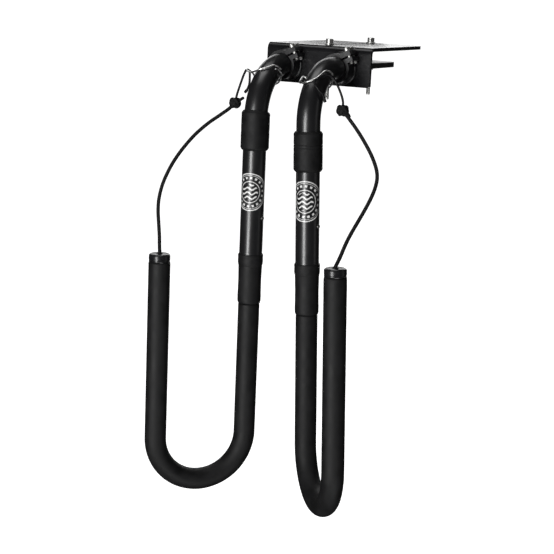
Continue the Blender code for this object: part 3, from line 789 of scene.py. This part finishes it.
def evenly(line, count):
    """The same line with its points evenly spaced."""
    travelled = [0.0]
    for a, b in zip(line, line[1:]):
        travelled.append(travelled[-1] + (b - a).length)
    even = []
    k = 0
    for n in range(count + 1):
        want = travelled[-1] * n / count
        while k < len(line) - 2 and travelled[k + 1] < want:
            k += 1
        share = (want - travelled[k]) / (travelled[k + 1] - travelled[k])
        even.append(line[k].lerp(line[k + 1], min(max(share, 0.0), 1.0)))
    return even


def build_collar(arm, paint):
    """Rubber collar: a small lip at the top, a soft step over the tube's end, a slight waist."""
    name = arm["name"]
    keys = [(0.0, 0.0166), (0.0008, 0.0172), (0.0024, 0.0175), (0.0052, 0.0173), (0.011, 0.0174),
            (0.0135, 0.0171), (0.017, 0.0164), (0.024, 0.0162), (0.040, 0.0160), (0.052, 0.0161),
            (0.060, 0.0163), (0.0655, 0.0162), (0.0682, 0.0158), (0.069, 0.0153)]

    def profile(s):
        for (a, ra), (b, rb) in zip(keys, keys[1:]):
            if s <= b:
                t = (s - a) / (b - a)
                t = t * t * (3 - 2 * t)
                return ra + (rb - ra) * t
        return keys[-1][1]

    line = straight_line(arm, COLLAR_TOP, COLLAR_END, 120)
    mesh = sweep("rubber_collar_" + name, line, profile, 64, bore=HOOK_TUBE_RADIUS + GAP / 2)
    new_piece("rubber_collar_" + name, mesh, "arm_" + name, paint,
              ["collar_" + name])


def build_foam(arm, paint):
    """Foam skin of a J hook, with the slight lumps of stretched-on foam."""
    name = arm["name"]
    line = evenly(hook_line(arm, COLLAR_END + GAP, arm["tip"] - CAP_HEIGHT - GAP, 60), 260)
    total = sum((b - a).length for a, b in zip(line, line[1:]))

    def profile(s):
        shoulder = min(min(s, total - s) / 0.0012, 1.0)
        lumps = 0.00008 * noise.noise(Vector((s * 60, arm["side"] * 3.0, 0.0)))
        return FOAM_RADIUS - 0.0005 * (1.0 - shoulder) ** 2 + lumps

    mesh = sweep("foam_skin_" + name, line, profile, 56, bore=HOOK_TUBE_RADIUS + GAP / 2)
    piece = new_piece("foam_skin_" + name, mesh, "hook_" + name, paint,
                      ["hook_foam_" + name])


def build_cap(arm, paint):
    """Gloss end cap: rounded rim, small raised ring around the cord, groove at its foot."""
    name = arm["name"]
    place = swivel_frame(arm) @ Matrix.Translation((2 * HOOK_BEND_RADIUS, 0.0,
                                                    arm["tip"] - arm["bend_depth"]))
    skirt = HOOK_TUBE_RADIUS + GAP / 2
    rim = arc((CAP_RADIUS - 0.0032, -0.0032), 0.0032, pi / 2, 0.0, 10)
    collar = [(CORD_HOLE, 0.0007), (CORD_HOLE + 0.0003, 0.0010), (CORD_HOLE + 0.0011, 0.0010),
              (CORD_HOLE + 0.0015, 0.0)]
    profile = collar + rim + [
        (CAP_RADIUS, -CAP_HEIGHT + 0.0028),
        (CAP_RADIUS - 0.0005, -CAP_HEIGHT + 0.0022),
        (CAP_RADIUS - 0.0005, -CAP_HEIGHT + 0.0012),
        (CAP_RADIUS, -CAP_HEIGHT + 0.0008),
        (CAP_RADIUS - 0.0003, -CAP_HEIGHT),
        (skirt, -CAP_HEIGHT),
        (skirt, -0.0030),
        (CORD_HOLE, -0.0030),
    ]
    mesh = turned("gloss_cap_" + name, profile, 72, place)
    new_piece("gloss_cap_" + name, mesh, "hook_" + name, paint,
              ["end_cap_" + name])


def build_weld(arm, paint):
    """Rippled weld bead where the socket meets the flange."""
    name = arm["name"]
    middle = Vector((arm["x"], FLANGE_FRONT_Y - 0.0008, STUB_Z))
    count = 150
    line = [middle + (SOCKET_RADIUS + 0.0004) * Vector((cos(a), 0.0, sin(a)))
            for a in [radians(78) + radians(294) * k / count for k in range(count + 1)]]

    def ripple(s):
        return 0.0019 + 0.00022 * abs(sin(s * pi / 0.0022))

    mesh = sweep("weld_bead_" + name, line, ripple, 14)
    new_piece("weld_bead_" + name, mesh, "bracket", paint)


# ---------------------------------------------------------------- screws and nuts

def screw_profile(head_radius, head_height, shank_radius, shank_length, thread_from, pitch):
    """A socket head, a plain neck, and a thread cut as fine ridges."""
    edge = 0.0005
    socket = head_radius * 0.52
    depth = head_height * 0.55
    profile = [(0.0, head_height - depth), (socket, head_height - depth),
               (socket, head_height - 0.0002), (socket + 0.0002, head_height)]
    profile += arc((head_radius - edge, head_height - edge), edge, pi / 2, 0.0, 4)
    profile += [(head_radius, 0.0002), (head_radius - 0.0002, 0.0), (shank_radius, 0.0)]
    z = -thread_from
    while z > -shank_length + 2 * pitch:
        profile += [(shank_radius, z), (shank_radius - 0.0003, z - pitch * 0.5)]
        z -= pitch
    profile += [(shank_radius, z), (shank_radius - 0.0006, -shank_length), (0.0, -shank_length)]
    return profile


def build_screws(steel):
    for where, y in (("front", SLOT_START_Y), ("rear", SLOT_END_Y)):
        head_z = PLATE_THICKNESS + WASHER_THICKNESS + 2 * GAP
        profile = screw_profile(BOLT_HEAD_RADIUS, BOLT_HEAD_HEIGHT, BOLT_RADIUS,
                                head_z - BOLT_END_Z, 0.020, 0.001)
        mesh = turned("long_screw_" + where, profile, 40, Matrix.Translation((0.0, y, head_z)))
        new_piece("long_screw_" + where, mesh, "screw_" + where, steel,
                  ["clamp_bolt_" + where])
        rim = 0.0003
        hole = BOLT_RADIUS + GAP
        ring = [(hole, WASHER_THICKNESS), (WASHER_RADIUS - rim, WASHER_THICKNESS),
                (WASHER_RADIUS, WASHER_THICKNESS - rim), (WASHER_RADIUS, 0.0), (hole, 0.0)]
        mesh = turned("flat_washer_" + where, ring, 48,
                      Matrix.Translation((0.0, y, PLATE_THICKNESS + GAP)))
        new_piece("flat_washer_" + where, mesh, "screw_" + where, steel,
                  ["clamp_washer_" + where])
        with_soft_edges("hex_nut_" + where, "clamp_nut_" + where, "nut_" + where, steel,
                        0.0003)
    for arm in (LEFT, RIGHT):
        base = Matrix.Translation((arm["x"], FLANGE_FRONT_Y, STUB_Z))
        tilt = base @ Matrix.Rotation(-EAR_TILT, 4, "Y")
        for where, back in zip(("rear", "front"), PINCH_FROM_FLANGE):
            name = arm["name"] + "_" + where
            profile = screw_profile(PINCH_HEAD_RADIUS, PINCH_HEAD_HEIGHT, PINCH_RADIUS,
                                    PINCH_LENGTH, 0.009, 0.0008)
            place = tilt @ Matrix.Translation((PINCH_OUT, -back, EAR_TOP + GAP))
            mesh = turned("pinch_screw_" + name, profile, 36, place)
            new_piece("pinch_screw_" + name, mesh, "bracket", steel,
                      ["pinch_bolt_" + name])


def build_button(arm, paint):
    """Domed spring button in the side of the hanging tube."""
    name = arm["name"]
    place = (swing_frame(arm) @ Matrix.Translation((0.0, -arm["stub"] - ELBOW_RADIUS,
                                                    -BUTTON_DEPTH))
             @ Matrix.Rotation(pi / 2, 4, "Y"))
    top = TUBE_RADIUS + BUTTON_TRAVEL
    dome = arc((0.0, top - BUTTON_DOME), BUTTON_DOME, pi / 2, acos(BUTTON_RADIUS / BUTTON_DOME), 8)
    foot = TUBE_RADIUS - TUBE_WALL - 0.0018
    profile = [(0.0, top)] + dome[1:] + [(BUTTON_RADIUS, foot), (0.0, foot)]
    mesh = turned("spring_button_" + name, profile, 32, place)
    new_piece("spring_button_" + name, mesh, "button_" + name, paint,
              ["lock_button_" + name])


# ---------------------------------------------------------------- floor and light

FLOOR_Z = -0.95
FLOOR_GLOW = 0.97
SWEEP_START = 1.6                 # the floor is flat to here, then curves up into a wall
SWEEP_RADIUS = 2.2
WALL_TOP = 4.5


def build_floor():
    """A seamless studio cove: a flat pale floor that curves up into a round wall."""
    profile = arc((SWEEP_START, FLOOR_Z + SWEEP_RADIUS), SWEEP_RADIUS, -pi / 2, 0.0, 24)
    profile.append((SWEEP_START + SWEEP_RADIUS, WALL_TOP))
    mesh = bpy.data.meshes.new("floor")
    shape = bmesh.new()
    sides = 96
    rings = [[shape.verts.new((r * cos(2 * pi * j / sides), r * sin(2 * pi * j / sides), z))
              for j in range(sides)] for r, z in profile]
    shape.faces.new(rings[0])
    for a, b in zip(rings, rings[1:]):
        for j in range(sides):
            n = (j + 1) % sides
            shape.faces.new((a[j], a[n], b[n], b[j]))
    bmesh.ops.recalc_face_normals(shape, faces=shape.faces)
    shape.to_mesh(mesh)
    shape.free()
    mesh.shade_smooth()
    floor = bpy.data.objects.new("floor", mesh)
    mesh.materials.append(floor_paint("floor").material)
    bpy.context.scene.collection.objects.link(floor)
    floor.visible_glossy = False
    floor.visible_diffuse = False
    floor.visible_shadow = False


def area_light(name, place, target, width, height, power):
    data = bpy.data.lights.new(name, "AREA")
    data.shape = "RECTANGLE"
    data.size = width
    data.size_y = height
    data.energy = power
    light = bpy.data.objects.new(name, data)
    light.location = place
    aim = Vector(target) - Vector(place)
    light.rotation_euler = aim.to_track_quat("-Z", "Y").to_euler()
    bpy.context.scene.collection.objects.link(light)
    light.visible_camera = False


def around_camera(azimuth, height, distance):
    """A place at an azimuth measured as the camera's is: 0 in front, 90 to the right."""
    a = radians(azimuth)
    return (distance * sin(a), -distance * cos(a), height)


def build_lights():
    middle = (0.0, -0.1, -0.4)
    area_light("key", around_camera(-5, -0.45, 2.2), middle, 0.55, 1.9, 48)
    area_light("fill_right", around_camera(100, -0.2, 2.0), middle, 0.4, 1.8, 1.2)
    area_light("low_card", around_camera(45, -1.7, 1.5), (0.05, -0.1, -0.55), 1.0, 0.7, 11)
    area_light("fill_behind", around_camera(190, -0.3, 2.4), middle, 0.9, 1.8, 6)
    area_light("overhead", (-0.3, -0.2, 2.0), (0.0, -0.1, 0.0), 1.4, 1.4, 17)
    area_light("back_card", around_camera(205, 0.75, 2.4), (0.0, 0.0, 0.0), 2.6, 0.8, 16)
    world = bpy.data.worlds.new("studio")
    world.use_nodes = True
    sky = world.node_tree.nodes["Background"]
    sky.inputs["Color"].default_value = (1.0, 1.0, 1.0, 1.0)
    sky.inputs["Strength"].default_value = 0.02
    bpy.context.scene.world = world
    bpy.context.scene.view_settings.view_transform = "Standard"


# ---------------------------------------------------------------- the whole scene

def build_arm(arm, paints):
    depth, radius = arm["badge"]
    along = arm["stub"] + ELBOW_RADIUS * pi / 2 + depth - ELBOW_RADIUS
    coat = badge(powder_coat("powder_coat_badge_" + arm["name"]), along, radius)
    build_cord(arm, paints["braid"])
    build_knot(arm, paints["braid"])
    build_cord_hook(arm, paints["wire"])
    build_clip(arm, paints["spring"])
    build_arm_tube(arm, coat)
    build_pad(arm, paints["foam"])
    build_collar(arm, paints["rubber"])
    build_foam(arm, paints["foam"])
    build_cap(arm, paints["gloss"])
    build_weld(arm, paints["coat"])
    build_button(arm, paints["dark"])
    with_soft_edges("clamp_socket_" + arm["name"], "socket_" + arm["name"], "bracket",
                    paints["coat"], 0.0005)


def main():
    build_camera()
    paints = {
        "coat": powder_coat("powder_coat"),
        "plate": powder_coat("powder_coat_plate", 0.18, 0.35),
        "steel": bright_steel("zinc_plate"),
        "dark": bright_steel("dark_steel", 0.25),
        "foam": foam("foam_skin", 0.004, 0.008),
        "rubber": foam("rubber_collar", 0.005, 0.009, 1800),
        "gloss": gloss_plastic("gloss_plastic"),
        "wire": coated_wire("coated_wire"),
        "spring": drawn_wire("spring_wire"),
        "braid": braid("braided_cord"),
    }
    for arm in (LEFT, RIGHT):
        build_arm(arm, paints)
    with_soft_edges("folded_bracket", "bracket", "bracket", paints["plate"], 0.0007)
    with_soft_edges("lower_bar", "clamp_bar", "jaw", paints["coat"], 0.0007)
    build_screws(paints["steel"])
    for side in ("left", "right"):
        for node, paint in (("hook_tube_", "coat"), ("stopper_knot_", "braid")):
            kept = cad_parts[node + side].data
            kept.materials.clear()
            kept.materials.append(paints[paint].material)
    build_floor()
    build_lights()


main()
